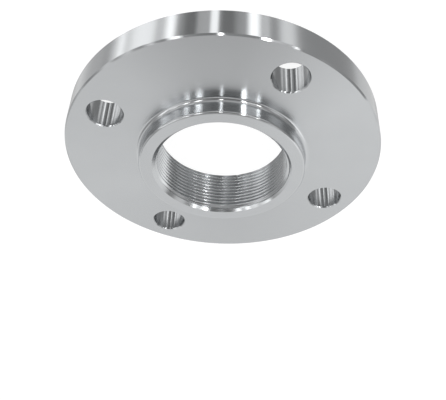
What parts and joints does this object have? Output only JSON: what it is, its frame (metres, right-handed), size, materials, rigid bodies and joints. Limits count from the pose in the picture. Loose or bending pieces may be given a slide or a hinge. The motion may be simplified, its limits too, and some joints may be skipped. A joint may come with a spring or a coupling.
{
  "type": "threaded pipe flange",
  "caption": "Round steel pipe flange with a short hub, an internally threaded bore and a circle of plain bolt holes.",
  "frame": {"origin": "centre of the bore on the flat back face, the gasket face", "axes": "+Z along the bore's axis, from the gasket face towards the end of the hub; the bolt holes lie at 45 degrees between +X and +Y"},
  "size_m": [0.175, 0.175, 0.027],
  "materials": {
    "turned_steel": "fine turned, bright"
  },
  "bodies": {
    "root": {"flange": "turned_steel"}
  },
  "joints": []
}
